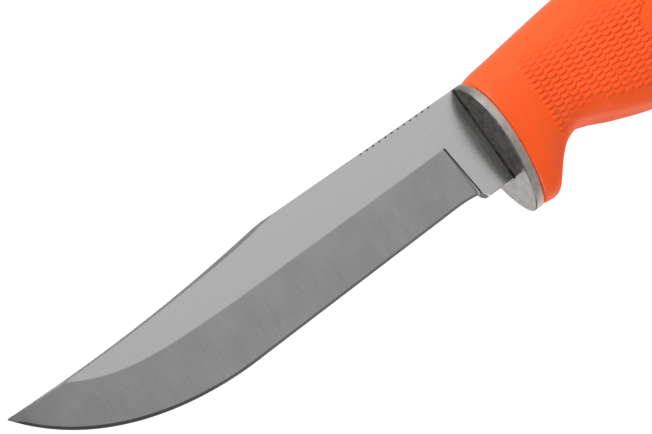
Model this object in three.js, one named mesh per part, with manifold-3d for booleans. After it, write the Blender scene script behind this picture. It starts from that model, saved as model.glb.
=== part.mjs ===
// A fixed-blade sheath knife with a clip point: a steel blade whose tang runs into the handle, a thin oval
// guard, a hard moulded core round the tang, a softer orange grip moulded over the core, and a steel tube
// that lines the lanyard hole. Nothing on it moves.
//
// Millimetres. +Z is the spine side, +X the butt, and the blade lies in the XZ plane. The pieces are drawn
// with x = 0 on the guard's front face, and the whole knife is then moved so that the middle of the hand's
// grip is the origin.
import * as THREE from 'three';
import { mergeVertices } from 'three/addons/utils/BufferGeometryUtils.js';
import Module from 'manifold-3d';

// ---- Driving dimensions ----
const GAP = 0.25; // between neighbouring pieces
const GRIP_CENTRE_X = 56; // middle of the hand's grip, behind the guard's front face

// Blade
const BLADE_LENGTH = 127;
const STOCK = 3.1;
const SPINE_Z = 12.3;
const RICASSO_Z = -11.9; // bottom of the unground part next to the guard
const RICASSO_FRONT_X = -9.3;
const RICASSO_ROUND = 1.5; // rounding of the ricasso's lower front corner
const HEEL = new THREE.Vector2(-10, -10); // where the cutting edge begins
const BELLY_START = new THREE.Vector2(-72, -11.85); // where the edge begins to curve up
const TIP = new THREE.Vector2(-BLADE_LENGTH, 8.3);
const TIP_BLUNT = 0.2; // what the very point stops short by
const PLUNGE_LEAN = 0.8; // how far the plunge line leans towards the guard at its foot
const PLUNGE_FADE = 8;
const CLIP_FLAT_X = -115; // where the clip's hollow runs level
const CLIP_FLAT_Z = 8.3;
const CLIP_RADIUS = 427;
const CLIP_BLEND = 0.15; // softens the corner where the clip leaves the spine
const SWEDGE_HEIGHT = 0.9; // the narrow false edge along the clip
const SWEDGE_START_X = -51.5;
const SWEDGE_FULL_X = -60;
const SWEDGE_END_X = -113;
const SWEDGE_LEAN = 0.6; // thickness it takes off, for each unit of its height
const GRIND_FRONT = new THREE.Vector2(-114, 8.7); // where the grind line runs out at the clip
const GRIND_BEND = new THREE.Vector2(-70, 1.4); // where the grind line begins to rise
const GRIND_REAR = new THREE.Vector2(-10, 2.5); // where the grind line meets the plunge
const EDGE_BEVEL = 0.55; // height of the sharpened bevel
const BEHIND_EDGE = 0.6; // thickness above the sharpened bevel
const EDGE_LAND = 0.08; // thickness left at the edge itself
const CORNER = 0.2; // chamfer along the spine and the ricasso

// Jimping: small notches filed across the spine for the thumb
const JIMP_COUNT = 12;
const JIMP_FIRST_X = -7.4;
const JIMP_PITCH = 1.81;
const JIMP_RADIUS = 0.45;
const JIMP_LIFT = 0.1; // height of the file's centre above the spine

// Where the blade's rings stand, as [how many, from x, to x]
const TIP_RINGS = [8, TIP.x + TIP_BLUNT, -121];
const BELLY_RINGS = [30, -119.5, BELLY_START.x];
const STRAIGHT_RINGS = [16, -70, HEEL.x];
const CORNER_RINGS = 5;

// Tang
const TANG_TOP = 6.2;
const TANG_BOTTOM = -4.4;
const TANG_END_TOP = 4.6;
const TANG_END_BOTTOM = -3.6;
const TANG_END_X = 86;
const TANG_ROOT_X = -4; // inside the ricasso, so that the two join
const ANCHOR_X = [26, 46, 66]; // holes that the core's plastic runs through
const ANCHOR_Z = 0.9;
const ANCHOR_RADIUS = 2.8;

// Guard
const GUARD_THICKNESS = 2.3;
const GUARD_TOP = 12.4;
const GUARD_BOTTOM = -20.4;
const GUARD_HALF_WIDTH = 10.3;
const GUARD_EGG = 0.21; // how much wider the upper half is
const GUARD_ROUND = 0.45;
const GUARD_SIDES = 56;

// Handle
const HANDLE_FRONT_X = GUARD_THICKNESS + GAP;
const HANDLE_END_X = 114;
const FRONT_ROUND = 0.6;
const BUTT_ROUND = 5;
const BUTT_RAKE = 0.16; // how far the butt's face leans forward with height
const BUTT_RAKE_START_X = 92;
const SQUARENESS = 2.25; // 2 is an ellipse, and more is squarer
const GRIP_WALL = 3.5;
const CORE_END_X = 108;
const CORE_END_ROUND = 3;
const HANDLE_SIDES = 48;
const CORE_SIDES = 24;

// Where the handle's and the core's rings stand, as [how many, from x, to x]
const FRONT_RINGS = 3;
const STOP_RINGS = [12, 4, 22];
const GRIP_RINGS = [18, 25, 103];
const BUTT_RINGS = 8;
const CORE_STOP_RINGS = [7, 4, 25];
const CORE_GRIP_RINGS = [10, 32, 104];
const CORE_END_RINGS = 4;
const THROUGH = 40; // length of a cutter that passes right through the handle

// The handle's back and belly lines, and half its thickness, as (x, value)
const BACK_LINE = [[2, 11.7], [4, 12.4], [6, 12.9], [11, 13.5], [20, 14.7], [34, 16.4], [47, 17.3],
  [60, 17], [74, 15.6], [88, 13.8], [100, 12.6], [114, 12]];
const BELLY_LINE = [[2, -19.9], [4, -20.4], [7, -20.3], [9.2, -18.3], [12, -15], [15.2, -12.1],
  [19.5, -10.8], [24, -11.7], [30, -14.1], [39, -17.1], [48, -18.9], [56, -19.4], [66, -18.5],
  [80, -16], [90, -15.7], [98, -17.6], [105, -20.2], [110, -21], [114, -21]];
const HALF_THICKNESS = [[2, 9.8], [10, 9.7], [20, 9.2], [34, 9.9], [52, 10.7], [70, 10.4],
  [88, 9.5], [102, 9.7], [114, 9.9]];
const EGG = [[2, 0.23], [16, 0.1], [40, 0.08], [114, 0.06]];

// Lanyard tube
const LANYARD_X = 101;
const LANYARD_Z = -4;
const TUBE_BORE_RADIUS = 3.2;
const TUBE_RADIUS = 3.8;
const LIP_RADIUS = 4.6;
const LIP_THICKNESS = 0.6;
const LIP_DEPTH = 0.5; // how far the lips sit below the grip's sides
const TUBE_SIDES = 32;

const wasm = await Module();
wasm.setup();

// ---- Geometry helpers ----

// A closed three.js geometry as a solid that can be cut and joined.
function solidOf(geometry) {
  const bare = geometry.index ? geometry.toNonIndexed() : geometry;
  bare.deleteAttribute('normal');
  bare.deleteAttribute('uv');
  const merged = mergeVertices(bare, 1e-4);
  return new wasm.Manifold(new wasm.Mesh({
    numProp: 3,
    vertProperties: new Float32Array(merged.attributes.position.array),
    triVerts: new Uint32Array(merged.index.array),
  }));
}

function geometryOf(solid) {
  const { vertProperties, triVerts } = solid.getMesh();
  const geometry = new THREE.BufferGeometry();
  geometry.setAttribute('position', new THREE.BufferAttribute(vertProperties, 3));
  geometry.setIndex(new THREE.BufferAttribute(triVerts, 1));
  geometry.computeVertexNormals();
  return geometry;
}

// A closed skin over rings of equal length, which run from low x to high x, each seen from its +X side
// turning from +Y to +Z.
function loft(rings) {
  const sides = rings[0].length;
  const positions = rings.flat().flatMap((point) => [point.x, point.y, point.z]);
  const triangles = [];
  for (let ring = 0; ring + 1 < rings.length; ring += 1) {
    for (let side = 0; side < sides; side += 1) {
      const next = (side + 1) % sides;
      const here = ring * sides;
      const ahead = here + sides;
      triangles.push(here + side, here + next, ahead + next, here + side, ahead + next, ahead + side);
    }
  }
  const last = (rings.length - 1) * sides;
  [[0, true], [last, false]].forEach(([start, front]) => {
    const centre = rings[start / sides]
      .reduce((sum, point) => sum.add(point), new THREE.Vector3())
      .divideScalar(sides);
    const hub = positions.length / 3;
    positions.push(centre.x, centre.y, centre.z);
    for (let side = 0; side < sides; side += 1) {
      const next = (side + 1) % sides;
      triangles.push(hub, start + (front ? next : side), start + (front ? side : next));
    }
  });
  const geometry = new THREE.BufferGeometry();
  geometry.setAttribute('position', new THREE.Float32BufferAttribute(positions, 3));
  geometry.setIndex(triangles);
  return geometry;
}

// A smooth curve through the points of a line, read at x.
function through(line, x) {
  let i = 0;
  while (i < line.length - 2 && x > line[i + 1][0]) i += 1;
  const slope = (at) => {
    const a = line[Math.max(at - 1, 0)];
    const b = line[Math.min(at + 1, line.length - 1)];
    return (b[1] - a[1]) / (b[0] - a[0]);
  };
  const [x0, y0] = line[i];
  const [x1, y1] = line[i + 1];
  const width = x1 - x0;
  const t = THREE.MathUtils.clamp((x - x0) / width, 0, 1);
  const rise = t * t * (3 - 2 * t);
  return y0 + (y1 - y0) * rise + width * t * (1 - t) * ((1 - t) * slope(i) - t * slope(i + 1));
}

// The height of a curve whose x falls steadily, read at x.
function heightAt(curve, x) {
  let low = 0;
  let high = 1;
  for (let i = 0; i < 40; i += 1) {
    const middle = (low + high) / 2;
    if (curve.getPoint(middle).x > x) low = middle;
    else high = middle;
  }
  return curve.getPoint(low).y;
}

function range(count, from, to) {
  return Array.from({ length: count }, (_, i) => from + ((to - from) * i) / (count - 1));
}

// A cylinder of this radius along Y.
function cylinderAlongY(radius, length, x, y, z, sides = 24) {
  return new THREE.CylinderGeometry(radius, radius, length, sides).translate(x, y, z);
}

// ---- Blade ----

const bellyCurve = new THREE.CubicBezierCurve(
  BELLY_START, new THREE.Vector2(-74.5, -11.9), new THREE.Vector2(-108.8, -14.7), TIP,
);
const grindCurve = new THREE.CubicBezierCurve(
  GRIND_BEND, new THREE.Vector2(-95, 1.4), new THREE.Vector2(-102.8, 2.05), GRIND_FRONT,
);
const GRIND_FRONT_SLOPE = 0.6; // the grind line's run past the clip, where it is only a construction line

function between(from, to, x) {
  return from.y + ((to.y - from.y) * (x - from.x)) / (to.x - from.x);
}

function edgeZ(x) {
  return x > BELLY_START.x ? between(HEEL, BELLY_START, x) : heightAt(bellyCurve, x);
}

function grindZ(x) {
  if (x > GRIND_BEND.x) return between(GRIND_REAR, GRIND_BEND, x);
  if (x > GRIND_FRONT.x) return heightAt(grindCurve, x);
  return GRIND_FRONT.y + GRIND_FRONT_SLOPE * (GRIND_FRONT.x - x);
}

function spineZ(x) {
  const clip = CLIP_FLAT_Z + (x - CLIP_FLAT_X) ** 2 / (2 * CLIP_RADIUS);
  const nearness = Math.max(CLIP_BLEND - Math.abs(clip - SPINE_Z), 0) / CLIP_BLEND;
  return Math.min(clip, SPINE_Z) - (nearness ** 2 * CLIP_BLEND) / 4;
}

function swedgeHeight(x) {
  const growing = (SWEDGE_START_X - x) / (SWEDGE_START_X - SWEDGE_FULL_X);
  const fading = (x - SWEDGE_END_X) / (SWEDGE_FULL_X - SWEDGE_END_X);
  return SWEDGE_HEIGHT * Math.max(0, Math.min(growing, fading, 1));
}

// Half the blade's outline across x, from the spine down to the edge, as [half thickness, height].
function groundHalf(x) {
  const top = spineZ(x);
  const edge = edgeZ(x);
  const depth = top - edge;
  const swedge = Math.max(swedgeHeight(x), Math.min(CORNER, depth / 8));
  const bevel = Math.min(EDGE_BEVEL, depth / 4);
  const behind = (BEHIND_EDGE / 2) * Math.min(1, 0.3 + depth / 6);
  const slope = (STOCK / 2 - behind) / (grindZ(x) - edge - bevel);
  const halfAt = (z) => Math.min(STOCK / 2, behind + slope * (z - edge - bevel));
  const side = top - swedge;
  const grind = Math.min(grindZ(x), side - depth / 20);
  return [
    [halfAt(side) - swedge * SWEDGE_LEAN * (halfAt(side) / STOCK), top],
    [halfAt(side), side],
    [halfAt(grind), grind],
    [behind, edge + bevel],
    [EDGE_LAND / 2, edge],
  ];
}

function ricassoHalf(bottom) {
  return [
    [STOCK / 2 - CORNER, SPINE_Z],
    [STOCK / 2, SPINE_Z - CORNER],
    [STOCK / 2, GRIND_REAR.y],
    [STOCK / 2, bottom + CORNER],
    [STOCK / 2 - CORNER, bottom],
  ];
}

function bladeRing(x, half) {
  const fade = Math.max(0, 1 - Math.abs(x - HEEL.x) / PLUNGE_FADE);
  const place = ([y, z]) => {
    const below = Math.max(0, GRIND_REAR.y - z) / (GRIND_REAR.y - RICASSO_Z);
    return new THREE.Vector3(x + PLUNGE_LEAN * below * fade, y, z);
  };
  const left = half.map(([y, z]) => place([-y, z]));
  const right = half.map(place).reverse();
  return [...right, ...left];
}

function bladeBody() {
  const groundX = [...range(...TIP_RINGS), ...range(...BELLY_RINGS), ...range(...STRAIGHT_RINGS)];
  const groundRings = groundX.map((x) => bladeRing(x, groundHalf(x)));
  const cornerRings = range(CORNER_RINGS, 0, Math.PI / 2).map((angle) => bladeRing(
    RICASSO_FRONT_X + RICASSO_ROUND * (1 - Math.cos(angle)),
    ricassoHalf(RICASSO_Z + RICASSO_ROUND * (1 - Math.sin(angle))),
  ));
  const rearRing = bladeRing(-GAP, ricassoHalf(RICASSO_Z));
  return solidOf(loft([...groundRings, ...cornerRings, rearRing]));
}

// A plate in the XZ plane, this thick across Y.
function plateAcrossY(shape, thickness) {
  return new THREE.ExtrudeGeometry(shape, { depth: thickness, bevelEnabled: false, curveSegments: 10 })
    .rotateX(Math.PI / 2)
    .translate(0, thickness / 2, 0);
}

// The tang's side outline from rootX back to its round end, grown by a clearance.
function tangShape(grow, rootX) {
  const end = TANG_END_X + grow;
  const radius = (TANG_END_TOP - TANG_END_BOTTOM) / 2 + grow;
  const shape = new THREE.Shape();
  shape.moveTo(rootX, TANG_BOTTOM - grow);
  shape.lineTo(end - radius, TANG_END_BOTTOM - grow);
  shape.absarc(end - radius, (TANG_END_TOP + TANG_END_BOTTOM) / 2, radius, -Math.PI / 2, Math.PI / 2);
  shape.lineTo(rootX, TANG_TOP + grow);
  return shape;
}

function anchorRod(x, radius, length) {
  return solidOf(cylinderAlongY(radius, length, x, 0, ANCHOR_Z, 20));
}

function makeBlade() {
  let blade = bladeBody().add(solidOf(plateAcrossY(tangShape(0, TANG_ROOT_X), STOCK)));
  ANCHOR_X.forEach((x) => {
    blade = blade.subtract(anchorRod(x, ANCHOR_RADIUS, 2 * STOCK));
  });
  for (let i = 0; i < JIMP_COUNT; i += 1) {
    const x = JIMP_FIRST_X - i * JIMP_PITCH;
    const file = cylinderAlongY(JIMP_RADIUS, 2 * STOCK, x, 0, SPINE_Z + JIMP_LIFT, 12);
    blade = blade.subtract(solidOf(file));
  }
  return geometryOf(blade);
}

// ---- Guard ----

function guardShape() {
  const middle = (GUARD_TOP + GUARD_BOTTOM) / 2;
  const halfHeight = (GUARD_TOP - GUARD_BOTTOM) / 2;
  const points = Array.from({ length: GUARD_SIDES }, (_, i) => {
    const angle = (i / GUARD_SIDES) * 2 * Math.PI;
    const up = Math.sin(angle);
    const across = GUARD_HALF_WIDTH * (1 + GUARD_EGG * up) * Math.cos(angle);
    return new THREE.Vector2(across, middle + halfHeight * up);
  });
  return new THREE.Shape(points);
}

function makeGuard() {
  const plate = new THREE.ExtrudeGeometry(guardShape(), {
    depth: GUARD_THICKNESS - 2 * GUARD_ROUND,
    bevelThickness: GUARD_ROUND,
    bevelSize: GUARD_ROUND,
    bevelOffset: -GUARD_ROUND,
    bevelSegments: 3,
  });
  plate.translate(0, 0, GUARD_ROUND);
  plate.applyMatrix4(new THREE.Matrix4().set(0, 0, 1, 0, 1, 0, 0, 0, 0, 1, 0, 0, 0, 0, 0, 1));
  const slotHeight = TANG_TOP - TANG_BOTTOM + 2 * GAP;
  const slot = new THREE.BoxGeometry(4 * GUARD_THICKNESS, STOCK + 2 * GAP, slotHeight);
  slot.translate(0, 0, (TANG_TOP + TANG_BOTTOM) / 2);
  return geometryOf(solidOf(plate).subtract(solidOf(slot)));
}

// ---- Handle ----

// The handle's section at x, drawn in from its surface by inset.
function handleRing(x, inset, sides, shift = 0) {
  const top = through(BACK_LINE, x) - inset;
  const bottom = through(BELLY_LINE, x) + inset;
  const half = through(HALF_THICKNESS, x) - inset;
  const egg = through(EGG, x);
  const rake = Math.max(0, x - BUTT_RAKE_START_X) / (HANDLE_END_X - BUTT_RAKE_START_X);
  return Array.from({ length: sides }, (_, i) => {
    const angle = (i / sides) * 2 * Math.PI;
    const squared = (value) => Math.sign(value) * Math.abs(value) ** (2 / SQUARENESS);
    const up = squared(Math.sin(angle));
    const y = half * (1 + egg * up) * squared(Math.cos(angle));
    const z = (top + bottom) / 2 + ((top - bottom) / 2) * up;
    return new THREE.Vector3(x + shift - BUTT_RAKE * rake * (z - BELLY_LINE[0][1]), y, z);
  });
}

function handleRings(inset, sides) {
  const front = range(FRONT_RINGS, 0, Math.PI / 2).map((angle) => (
    handleRing(HANDLE_FRONT_X + FRONT_ROUND * (1 - Math.cos(angle)),
      inset + FRONT_ROUND * (1 - Math.sin(angle)), sides)
  ));
  const bodyX = [...range(...STOP_RINGS), ...range(...GRIP_RINGS)];
  const body = bodyX.map((x) => handleRing(x, inset, sides));
  const butt = range(BUTT_RINGS, 0, Math.PI / 2).map((angle) => (
    handleRing(HANDLE_END_X - BUTT_ROUND * (1 - Math.sin(angle)),
      inset + BUTT_ROUND * (1 - Math.cos(angle)), sides)
  ));
  return [...front, ...body, ...butt];
}

// The core's outer skin, grown by a clearance. It starts at startX, where its first section is repeated.
function coreSkin(grow, startX) {
  const inset = GRIP_WALL - grow;
  const start = handleRing(HANDLE_FRONT_X, inset, CORE_SIDES, startX - HANDLE_FRONT_X);
  const bodyX = [...range(...CORE_STOP_RINGS), ...range(...CORE_GRIP_RINGS)];
  const body = bodyX.map((x) => handleRing(x, inset, CORE_SIDES));
  const end = range(CORE_END_RINGS, 0, Math.PI / 2).map((angle) => (
    handleRing(CORE_END_X + grow - CORE_END_ROUND * (1 - Math.sin(angle)),
      inset + CORE_END_ROUND * (1 - Math.cos(angle)), CORE_SIDES)
  ));
  return solidOf(loft([start, ...body, ...end]));
}

function lanyardRod(radius, length, y = 0) {
  return solidOf(cylinderAlongY(radius, length, LANYARD_X, y, LANYARD_Z, TUBE_SIDES));
}

function makeCore() {
  let pocket = solidOf(plateAcrossY(tangShape(GAP, -1), STOCK + 2 * GAP));
  ANCHOR_X.forEach((x) => {
    pocket = pocket.subtract(anchorRod(x, ANCHOR_RADIUS - GAP, 2 * STOCK));
  });
  return geometryOf(
    coreSkin(0, HANDLE_FRONT_X).subtract(pocket).subtract(lanyardRod(TUBE_RADIUS + GAP, THROUGH)),
  );
}

// How far the grip's side stands from the middle plane at the lanyard hole.
function sideAtLanyard() {
  const level = handleRing(LANYARD_X, 0, 360)
    .filter((point) => point.y > 0)
    .sort((a, b) => Math.abs(a.z - LANYARD_Z) - Math.abs(b.z - LANYARD_Z));
  return level[0].y;
}
const LIP_FACE = sideAtLanyard() - LIP_DEPTH;

function makeGrip() {
  let grip = solidOf(loft(handleRings(0, HANDLE_SIDES))).subtract(coreSkin(GAP, HANDLE_FRONT_X - 1));
  grip = grip.subtract(lanyardRod(TUBE_RADIUS + GAP, THROUGH));
  const seatFloor = LIP_FACE - LIP_THICKNESS - GAP;
  [-1, 1].forEach((side) => {
    const seatLength = 10;
    grip = grip.subtract(lanyardRod(LIP_RADIUS + GAP, seatLength, side * (seatFloor + seatLength / 2)));
  });
  return geometryOf(grip);
}

function makeLanyardTube() {
  const neck = LIP_FACE - LIP_THICKNESS;
  const profile = [
    [TUBE_BORE_RADIUS, -LIP_FACE], [LIP_RADIUS, -LIP_FACE], [LIP_RADIUS, -neck], [TUBE_RADIUS, -neck],
    [TUBE_RADIUS, neck], [LIP_RADIUS, neck], [LIP_RADIUS, LIP_FACE], [TUBE_BORE_RADIUS, LIP_FACE],
    [TUBE_BORE_RADIUS, -LIP_FACE],
  ];
  const points = profile.map(([radius, y]) => new THREE.Vector2(radius, y));
  const ring = new THREE.LatheGeometry(points, TUBE_SIDES).translate(LANYARD_X, 0, LANYARD_Z);
  return geometryOf(solidOf(ring));
}

// ---- Assembly ----

const satinSteel = { color: 0xb0b0b0, roughness: 0.32, metalness: 1 };
const orangePlastic = { color: 0xfa6030, roughness: 0.5, metalness: 0 };
const blackNylon = { color: 0x2b2b2d, roughness: 0.6, metalness: 0 };

const knife = new THREE.Group();
function addPart(name, geometry, look) {
  const mesh = new THREE.Mesh(geometry, new THREE.MeshStandardMaterial(look));
  mesh.name = name;
  knife.add(mesh);
}

addPart('blade', makeBlade(), satinSteel);
addPart('guard', makeGuard(), satinSteel);
addPart('handle_core', makeCore(), blackNylon);
addPart('grip', makeGrip(), orangePlastic);
addPart('lanyard_tube', makeLanyardTube(), satinSteel);
knife.position.x = -GRIP_CENTRE_X;

export default knife;
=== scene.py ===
"""A fixed-blade clip-point knife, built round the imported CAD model.

The blade, guard, grip and lanyard tube are fine meshes that stand for their CAD nodes, and the moulded
core is the CAD node itself. Shapes are worked out in millimetres with x = 0 on the guard's front face, x
growing towards the butt and z towards the spine, and are then placed by the CAD guard.
"""
import math

import bpy
import numpy as np
from mathutils import Matrix, Vector


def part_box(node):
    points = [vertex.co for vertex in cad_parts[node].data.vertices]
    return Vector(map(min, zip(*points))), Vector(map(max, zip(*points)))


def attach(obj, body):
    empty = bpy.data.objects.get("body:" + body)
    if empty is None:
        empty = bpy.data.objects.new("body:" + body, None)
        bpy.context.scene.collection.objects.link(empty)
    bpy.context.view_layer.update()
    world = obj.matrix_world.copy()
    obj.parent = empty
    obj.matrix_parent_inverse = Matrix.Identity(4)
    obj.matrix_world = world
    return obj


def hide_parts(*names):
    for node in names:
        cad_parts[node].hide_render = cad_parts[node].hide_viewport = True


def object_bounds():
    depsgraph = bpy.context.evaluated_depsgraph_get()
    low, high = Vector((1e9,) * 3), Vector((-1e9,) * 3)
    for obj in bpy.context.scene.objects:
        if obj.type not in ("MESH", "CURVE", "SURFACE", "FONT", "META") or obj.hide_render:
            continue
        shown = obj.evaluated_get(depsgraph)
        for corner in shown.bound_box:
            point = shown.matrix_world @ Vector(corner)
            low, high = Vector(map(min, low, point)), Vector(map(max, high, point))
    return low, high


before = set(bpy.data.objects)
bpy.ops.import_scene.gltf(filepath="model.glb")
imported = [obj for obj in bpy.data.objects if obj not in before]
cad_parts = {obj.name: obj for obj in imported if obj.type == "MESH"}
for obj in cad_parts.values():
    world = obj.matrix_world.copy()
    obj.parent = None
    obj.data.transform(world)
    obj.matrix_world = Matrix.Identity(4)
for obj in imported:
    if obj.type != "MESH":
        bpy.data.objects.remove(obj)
cad_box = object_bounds()

MM = 0.001
guard_low, guard_high = (np.array(corner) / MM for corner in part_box("guard"))
tube_low, tube_high = (np.array(corner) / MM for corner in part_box("lanyard_tube"))
blade_low, blade_high = (np.array(corner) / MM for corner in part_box("blade"))
ORIGIN = np.array([guard_low[0], 0.0, 0.0])
SIDES_OF_KNIFE = (-1, 1)

# Lists of pairs give a measure at each x. Other pairs are (x, z), or a top and a bottom.

# ---- Blade, mm ----
STOCK = blade_high[1] - blade_low[1]
SPINE_Z = 12.3
RICASSO_Z = -11.9
RICASSO_FRONT_X = -9.3
RICASSO_SLOPE = 1.35
RICASSO_SLOPE_POWER = 1.5
BLADE_REAR_X = -0.25
HEEL = (-9.65, -10.35)
HEEL_FOOT_Z = -10.6
EDGE_SWEEP_X = -15.0
EDGE_SWEEP_DROP = 0.55
BELLY_START = (-72.0, -11.85)
TIP = (-127.0, 8.3)
TIP_BLUNT = 0.15
BELLY = (BELLY_START, (-74.5, -11.9), (-108.8, -14.7), TIP)
PLUNGE_LEAN = 0.8
PLUNGE_FADE = 8.0
PLUNGE_WIDTH = 0.42
PLUNGE_CORNER = 1.5
PLUNGE_CORNER_PULL = 0.5
CLIP_FLAT = (-115.0, 8.3)
CLIP_RADIUS = 427.0
CLIP_BLEND = 0.15
SWEDGE_HEIGHTS = [(-127, 0.25), (-113, 0.42), (-80, 0.6), (-73, 0.72), (-66, 0.83), (-61, 0.86),
                  (-58, 0.82), (-55, 0.5), (-51.5, 0)]
SWEDGE_LEAN = 0.6
GRIND_FRONT = (-114.0, 8.7)
GRIND_FRONT_SLOPE = 0.6
GRIND_BEND = (-70.0, 1.4)
GRIND_REAR = (-10.0, 2.5)
GRIND = (GRIND_BEND, (-95.0, 1.4), (-102.8, 2.05), GRIND_FRONT)
EDGE_BEVELS = [(-127, 0.8), (-112, 0.8), (-90, 0.66), (-60, 0.58), (-10, 0.55)]
BEHIND_EDGE = 0.6
BEHIND_EDGE_TIP_SHARE = 0.6
BEHIND_EDGE_FULL_DEPTH = 12.0
EDGE_LAND = 0.08
CORNER = 0.14
CORNER_ROUNDS = (0.02, 0.04, 0.1, 0.05, 0.1)
CORNER_MOST_SHARE = 0.3
CORNER_STEPS = (1 / 3, 2 / 3)
CORNER_SUPPORT = 1.6
TIP_SWEDGE_SHARE = 1 / 8
TIP_BEVEL_SHARE = 1 / 4
TIP_FLAT_SHARE = 1 / 20
JIMP_COUNT = 12
JIMP_FIRST_X = -7.4
JIMP_PITCH = 1.81
JIMP_RADIUS = 0.45
JIMP_LIFT = 0.1
TANG_HALF = STOCK / 2 - 0.05
TANG_ROOT = (6.2, -4.4)
TANG_END = (4.6, -3.6)
TANG_END_X = 86.0
ANCHOR_X = (26.0, 46.0, 66.0)
ANCHOR_Z = 0.9
ANCHOR_RADIUS = 2.8
TANG_FIRST_X = (0.4, 4.0)
TANG_END_TURNS = (15, 30, 45, 58, 70, 80, 86)

# ---- Spacing of the blade's rings, mm ----
TIP_ZONE = 6.0
TIP_CROWDING = 1.8
BODY_STEP = 0.5
BODY_END_X = -29.0
NOTCH_STEP = 0.07
NOTCH_MARGIN = 0.6
PLUNGE_STEP = 0.05
PLUNGE_MARGINS = (0.3, 0.1)
REAR_MARGIN = 0.7

# ---- Where the blade's steel is painted darker as shade, and how dark from 0 to 1 ----
MARK_MARGIN = 0.02
NOTCH_SHADE = 0.9
NOTCH_SHADE_DEPTH = 0.12
SWEDGE_SHADE = 0.68
PLUNGE_SHADE = 0.95
PLUNGE_SHADE_START = (0.25, 0.8)
PLUNGE_SHADE_END = 1.2
PLUNGE_SHADE_OVER = 0.05
PLUNGE_SHADE_FOOT = 1.4
BLADE_SHADE_AT_GUARD = 0.6
BLADE_SHADE_AT_GUARD_REACH = (0.15, 0.1)
HEEL_HONED_REACH = 0.4
EDGE_SHADE = [(-127, 0.82), (-108, 0.8), (-92, 0.66), (-72, 0.28), (-9, 0.08)]

# ---- Guard, mm ----
GUARD_THICKNESS = guard_high[0] - guard_low[0]
GUARD_TOP = guard_high[2]
GUARD_BOTTOM = guard_low[2]
GUARD_HALF_WIDTH = 10.3
GUARD_EGG = 0.21
GUARD_ROUND = 0.22
GUARD_SIDES = 192
GUARD_ROUND_STEPS = 8
GUARD_FACE_INSET = 1.2
GUARD_FACE_SHARE = 0.75
GUARD_EDGE_SUPPORT = 0.12

# ---- Handle, mm ----
GAP = 0.25
HANDLE_FRONT_X = GUARD_THICKNESS + GAP
HANDLE_END_X = 114.0
FRONT_ROUND = 0.6
BUTT_ROUND = 5.0
BUTT_RAKE = 0.16
BUTT_RAKE_START_X = 92.0
SQUARENESS = 2.25
GRIP_WALL = 3.5
GRIP_FACE_INSET = 1.5
CORE_END_X = 108.0
BACK_LINE = [(2, 11.7), (4, 12.4), (6, 12.9), (11, 13.5), (20, 14.7), (34, 16.4), (47, 17.3),
             (60, 17), (74, 15.6), (88, 13.8), (100, 12.6), (114, 12)]
BELLY_LINE = [(2, -19.9), (4, -20.4), (7, -20.3), (9.2, -18.3), (12, -15), (15.2, -12.1),
              (19.5, -10.8), (24, -11.7), (30, -14.1), (39, -17.1), (48, -18.9), (56, -19.4),
              (66, -18.5), (80, -16), (90, -15.7), (98, -17.6), (105, -20.2), (110, -21), (114, -21)]
HALF_THICKNESS = [(2, 9.8), (10, 9.7), (20, 9.2), (34, 9.9), (52, 10.7), (70, 10.4), (88, 9.5),
                  (102, 9.7), (114, 9.9)]
EGG = [(2, 0.23), (16, 0.1), (40, 0.08), (114, 0.06)]
SQUARER_BELOW = [(10, 0.0), (13, 0.35), (16, 1.0), (20, 1.4), (28, 1.4), (40, 0.6), (56, 0.0)]

# ---- Scales moulded in the grip, mm ----
SCALE_WIDTH = 2.42
SCALE_PITCH = 1.36
SCALE_RISE = 0.42
SCALE_DIP = 0.18
SCALE_FIRST_X = 10.08
SCALE_SAMPLES = (0.06, 0.2, 0.35, 0.5, 0.65, 0.8, 0.94)
SCALE_CORNER_POWER = 3
SCALE_CROWN = 0.85
SCALE_CENTRE = 0.3
SCALE_ROWS = 19
SCALE_BOTTOM_Z = -15.08
CREASE_LEVEL = 0.93
SCALE_LEVELS = ((0.0, 0.86), (0.07, 1.0), (0.38, 0.72), (0.68, 0.34), (CREASE_LEVEL, 0.0))
TEXTURE_FRONT_X = 11.7
TEXTURE_REAR_X = 93.5
TEXTURE_ABOVE_BELLY = [(10, 1.9), (15, 2.2), (20, 3.4), (26, 3.9), (94, 3.9)]
TEXTURE_FOOT_FADE = [(10, 0.7), (17, 0.9), (24, 1.5), (94, 1.5)]
TEXTURE_FADE_Z = (2.0, 12.3)
LINES_BELOW_TEXTURE = 1.6
PRESSED_LINES_ROOM = 1.1
PANEL_CENTRE = (60.2, -0.7)
PANEL_RADII = (17.0, 7.0)
PANEL_GROOVE = 0.22
PANEL_GROOVE_LIFT = 0.05
PARTING_RISE = 0.05
PARTING_DEGREES = (89.35, 88.4)
ARC_STEPS = 12
# Painted shade in the seam where the grip meets the guard: its width and how dark.
SEAM_WIDTH = 0.1
SEAM_SHADE = 0.7

# ---- Lanyard tube, mm ----
LANYARD = (tube_low + tube_high) / 2 - ORIGIN
LIP_RADIUS = (tube_high[0] - tube_low[0]) / 2
LIP_FACE = tube_high[1]
LIP_THICKNESS = 0.6
LIP_FLARE = 0.5
LIP_CORNER = 0.2
SEAT_FLARE = 0.35
SEAT_RISE = 1.5
TUBE_RADIUS = 3.8
TUBE_SIDES = 96
BORE_RADIUS = 3.2


# ---- Mesh helpers ----

def in_row(points):
    """Points in mm from the guard's front face, as points in metres in the row frame."""
    return (np.asarray(points, float) + ORIGIN) * MM


def make_piece(name, points, faces, material, sharp_angle=40):
    """A mesh object in the row frame, shaded smooth up to sharp_angle."""
    mesh = bpy.data.meshes.new(name)
    mesh.from_pydata(in_row(points).tolist(), [], faces)
    mesh.update()
    piece = bpy.data.objects.new(name, mesh)
    bpy.context.scene.collection.objects.link(piece)
    mesh.materials.append(material)
    finish_shading(piece, sharp_angle)
    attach(piece, "root")
    return piece


def finish_shading(piece, sharp_angle):
    piece.data.shade_smooth()
    piece.data.set_sharp_from_angle(angle=math.radians(sharp_angle))


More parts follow.
